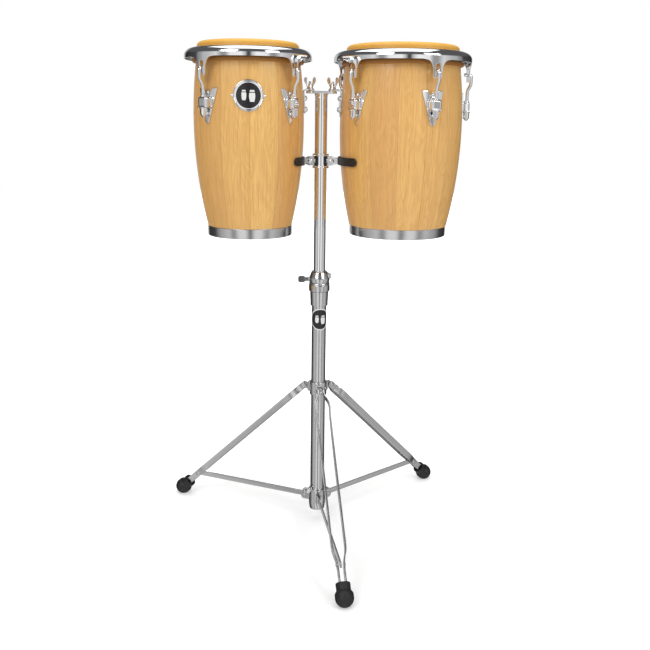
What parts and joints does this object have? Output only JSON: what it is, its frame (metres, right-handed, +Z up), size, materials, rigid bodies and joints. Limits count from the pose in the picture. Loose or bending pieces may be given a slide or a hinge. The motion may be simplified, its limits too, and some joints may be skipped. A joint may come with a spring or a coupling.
{
  "type": "conga drums on a tripod stand",
  "caption": "Pair of small natural-wood congas with chrome rims, hung side by side on a height-adjustable folding tripod stand.",
  "frame": {"origin": "on the floor, under the middle of the whole object's bounding box", "axes": "+Z up; +X along the line of the two drums, towards the bigger one; -Y towards the side that carries the badge and the front leg"},
  "size_m": [0.6506, 0.5866, 1.047],
  "materials": {
    "chrome": "bright chrome plate",
    "rubber": "moulded black rubber",
    "skin": "amber rawhide, scraped smooth",
    "steel": "satin plated steel",
    "wood": "clear satin lacquer over pale straight-grained staves"
  },
  "bodies": {
    "stand_base": {"base_tube": "steel", "height_clamp": "steel", "leg_collar": "steel"},
    "height_lock": {"memory_lock": "steel"},
    "lock_bolt": {"memory_lock_wing_bolt": "chrome"},
    "left_tension_set": {"left_rim": "chrome", "left_head": "skin", "left_hook_1": "chrome", "left_hook_2": "chrome", "left_hook_3": "chrome", "left_hook_4": "chrome"},
    "left_tuning_nut_1": {"left_nut_1": "chrome"},
    "left_tuning_nut_2": {"left_nut_2": "chrome"},
    "left_tuning_nut_3": {"left_nut_3": "chrome"},
    "left_tuning_nut_4": {"left_nut_4": "chrome"},
    "right_tension_set": {"right_rim": "chrome", "right_head": "skin", "right_hook_1": "chrome", "right_hook_2": "chrome", "right_hook_3": "chrome", "right_hook_4": "chrome", "right_hook_5": "chrome"},
    "right_tuning_nut_1": {"right_nut_1": "chrome"},
    "right_tuning_nut_2": {"right_nut_2": "chrome"},
    "right_tuning_nut_3": {"right_nut_3": "chrome"},
    "right_tuning_nut_4": {"right_nut_4": "chrome"},
    "right_tuning_nut_5": {"right_nut_5": "chrome"},
    "post_and_drums": {"post": "chrome", "stabilizer_front": "chrome", "stabilizer_back": "chrome", "left_shell": "wood", "left_bottom_band": "steel", "left_bracket": "chrome", "left_pad": "rubber", "left_lug_1": "chrome", "left_lug_2": "chrome", "left_lug_3": "chrome", "left_lug_4": "chrome", "right_shell": "wood", "right_bottom_band": "steel", "right_bracket": "chrome", "right_pad": "rubber", "right_lug_1": "chrome", "right_lug_2": "chrome", "right_lug_3": "chrome", "right_lug_4": "chrome", "right_lug_5": "chrome"},
    "left_bracket_nut": {"left_wing_nut": "chrome"},
    "right_bracket_nut": {"right_wing_nut": "chrome"},
    "hub": {"slide_hub": "steel"},
    "hub_screw": {"hub_wing_screw": "chrome"},
    "front_leg_set": {"front_leg": "steel", "front_foot": "rubber"},
    "front_strut_bar": {"front_strut": "steel"},
    "right_leg_set": {"right_leg": "steel", "right_foot": "rubber"},
    "right_strut_bar": {"right_strut": "steel"},
    "left_leg_set": {"left_leg": "steel", "left_foot": "rubber"},
    "left_strut_bar": {"left_strut": "steel"}
  },
  "joints": [
    {"name": "height", "type": "slide", "parent": "stand_base", "child": "height_lock", "axis": [0, 0, 1], "range_m": [0, 0.25]},
    {"name": "swivel", "type": "hinge", "parent": "height_lock", "child": "post_and_drums", "pos_m": [0.01043, 0.07943, 0.5595], "axis": [0, 0, 1], "continuous": true},
    {"name": "lock_bolt_turn", "type": "hinge", "parent": "height_lock", "child": "lock_bolt", "pos_m": [-0.01407, 0.07943, 0.5668], "axis": [-1, 0, 0], "range_deg": [0, 1080]},
    {"name": "left_nut_1_turn", "type": "hinge", "parent": "post_and_drums", "child": "left_tuning_nut_1", "pos_m": [-0.0493, 0.16739, 0.92], "axis": [0, 0, -1], "range_deg": [0, 1081]},
    {"name": "left_nut_2_turn", "type": "hinge", "parent": "post_and_drums", "child": "left_tuning_nut_2", "pos_m": [-0.22523, 0.16739, 0.92], "axis": [0, 0, -1], "range_deg": [0, 1081]},
    {"name": "left_nut_3_turn", "type": "hinge", "parent": "post_and_drums", "child": "left_tuning_nut_3", "pos_m": [-0.22523, -0.00854, 0.92], "axis": [0, 0, -1], "range_deg": [0, 1081]},
    {"name": "left_nut_4_turn", "type": "hinge", "parent": "post_and_drums", "child": "left_tuning_nut_4", "pos_m": [-0.0493, -0.00854, 0.92], "axis": [0, 0, -1], "range_deg": [0, 1081]},
    {"name": "left_tension", "type": "slide", "parent": "post_and_drums", "child": "left_tension_set", "axis": [0, 0, 1], "range_m": [0, 0.0045]},
    {"name": "right_nut_1_turn", "type": "hinge", "parent": "post_and_drums", "child": "right_tuning_nut_1", "pos_m": [0.06458, -0.00198, 0.92], "axis": [0, 0, -1], "range_deg": [0, 1081]},
    {"name": "right_nut_2_turn", "type": "hinge", "parent": "post_and_drums", "child": "right_tuning_nut_2", "pos_m": [0.21943, -0.05229, 0.92], "axis": [0, 0, -1], "range_deg": [0, 1081]},
    {"name": "right_nut_3_turn", "type": "hinge", "parent": "post_and_drums", "child": "right_tuning_nut_3", "pos_m": [0.31513, 0.07943, 0.92], "axis": [0, 0, -1], "range_deg": [0, 1081]},
    {"name": "right_nut_4_turn", "type": "hinge", "parent": "post_and_drums", "child": "right_tuning_nut_4", "pos_m": [0.21943, 0.21115, 0.92], "axis": [0, 0, -1], "range_deg": [0, 1081]},
    {"name": "right_nut_5_turn", "type": "hinge", "parent": "post_and_drums", "child": "right_tuning_nut_5", "pos_m": [0.06458, 0.16084, 0.92], "axis": [0, 0, -1], "range_deg": [0, 1081]},
    {"name": "right_tension", "type": "slide", "parent": "post_and_drums", "child": "right_tension_set", "axis": [0, 0, 1], "range_m": [0, 0.0045]},
    {"name": "left_wing_nut_turn", "type": "hinge", "parent": "post_and_drums", "child": "left_bracket_nut", "pos_m": [-0.01297, 0.07943, 0.957], "axis": [0, 0, 1], "range_deg": [0, 1080]},
    {"name": "right_wing_nut_turn", "type": "hinge", "parent": "post_and_drums", "child": "right_bracket_nut", "pos_m": [0.03383, 0.07943, 0.957], "axis": [0, 0, 1], "range_deg": [0, 1080]},
    {"name": "hub_slide", "type": "slide", "parent": "stand_base", "child": "hub", "axis": [0, 0, 1], "range_m": [0, 0.16285]},
    {"name": "hub_screw_turn", "type": "hinge", "parent": "hub", "child": "hub_screw", "pos_m": [-0.00864, 0.06685, 0.077], "axis": [-0.8348, -0.5505, 0], "range_deg": [0, 1080]},
    {"name": "front_leg_fold", "type": "hinge", "parent": "stand_base", "child": "front_leg_set", "pos_m": [0.01245, 0.04549, 0.3216], "axis": [0.9982, 0.0593, 0], "range_deg": [0, 41.45]},
    {"name": "front_strut_turn", "type": "hinge", "parent": "hub", "child": "front_strut_bar", "pos_m": [0.01227, 0.04848, 0.0565], "axis": [0.9982, 0.0593, 0], "range_deg": [0, 83.28]},
    {"name": "right_leg_fold", "type": "hinge", "parent": "stand_base", "child": "right_leg_set", "pos_m": [0.03882, 0.09814, 0.3216], "axis": [-0.5505, 0.8348, 0], "range_deg": [0, 41.48]},
    {"name": "right_strut_turn", "type": "hinge", "parent": "hub", "child": "right_strut_bar", "pos_m": [0.03631, 0.09649, 0.0565], "axis": [-0.5505, 0.8348, 0], "range_deg": [0, 83.28]},
    {"name": "left_leg_fold", "type": "hinge", "parent": "stand_base", "child": "left_leg_set", "pos_m": [-0.01997, 0.09465, 0.3216], "axis": [-0.4478, -0.8942, 0], "range_deg": [0, 41.48]},
    {"name": "left_strut_turn", "type": "hinge", "parent": "hub", "child": "left_strut_bar", "pos_m": [-0.01729, 0.09331, 0.0565], "axis": [-0.4478, -0.8942, 0], "range_deg": [0, 83.28]}
  ],
  "couplings": [
    {"joint": "left_nut_1_turn", "follows": "left_tension", "rad_per_m": 4188.8},
    {"joint": "left_nut_2_turn", "follows": "left_tension", "rad_per_m": 4188.8},
    {"joint": "left_nut_3_turn", "follows": "left_tension", "rad_per_m": 4188.8},
    {"joint": "left_nut_4_turn", "follows": "left_tension", "rad_per_m": 4188.8},
    {"joint": "right_nut_1_turn", "follows": "right_tension", "rad_per_m": 4188.8},
    {"joint": "right_nut_2_turn", "follows": "right_tension", "rad_per_m": 4188.8},
    {"joint": "right_nut_3_turn", "follows": "right_tension", "rad_per_m": 4188.8},
    {"joint": "right_nut_4_turn", "follows": "right_tension", "rad_per_m": 4188.8},
    {"joint": "right_nut_5_turn", "follows": "right_tension", "rad_per_m": 4188.8},
    {"joint": "front_strut_turn", "follows": "front_leg_fold", "ratio": 2.0077},
    {"joint": "right_leg_fold", "follows": "front_leg_fold", "ratio": 1},
    {"joint": "right_strut_turn", "follows": "front_leg_fold", "ratio": 2.0077},
    {"joint": "left_leg_fold", "follows": "front_leg_fold", "ratio": 1},
    {"joint": "left_strut_turn", "follows": "front_leg_fold", "ratio": 2.0077},
    {"joint": "hub_slide", "follows": "front_leg_fold", "m_per_rad": 0.2248}
  ]
}
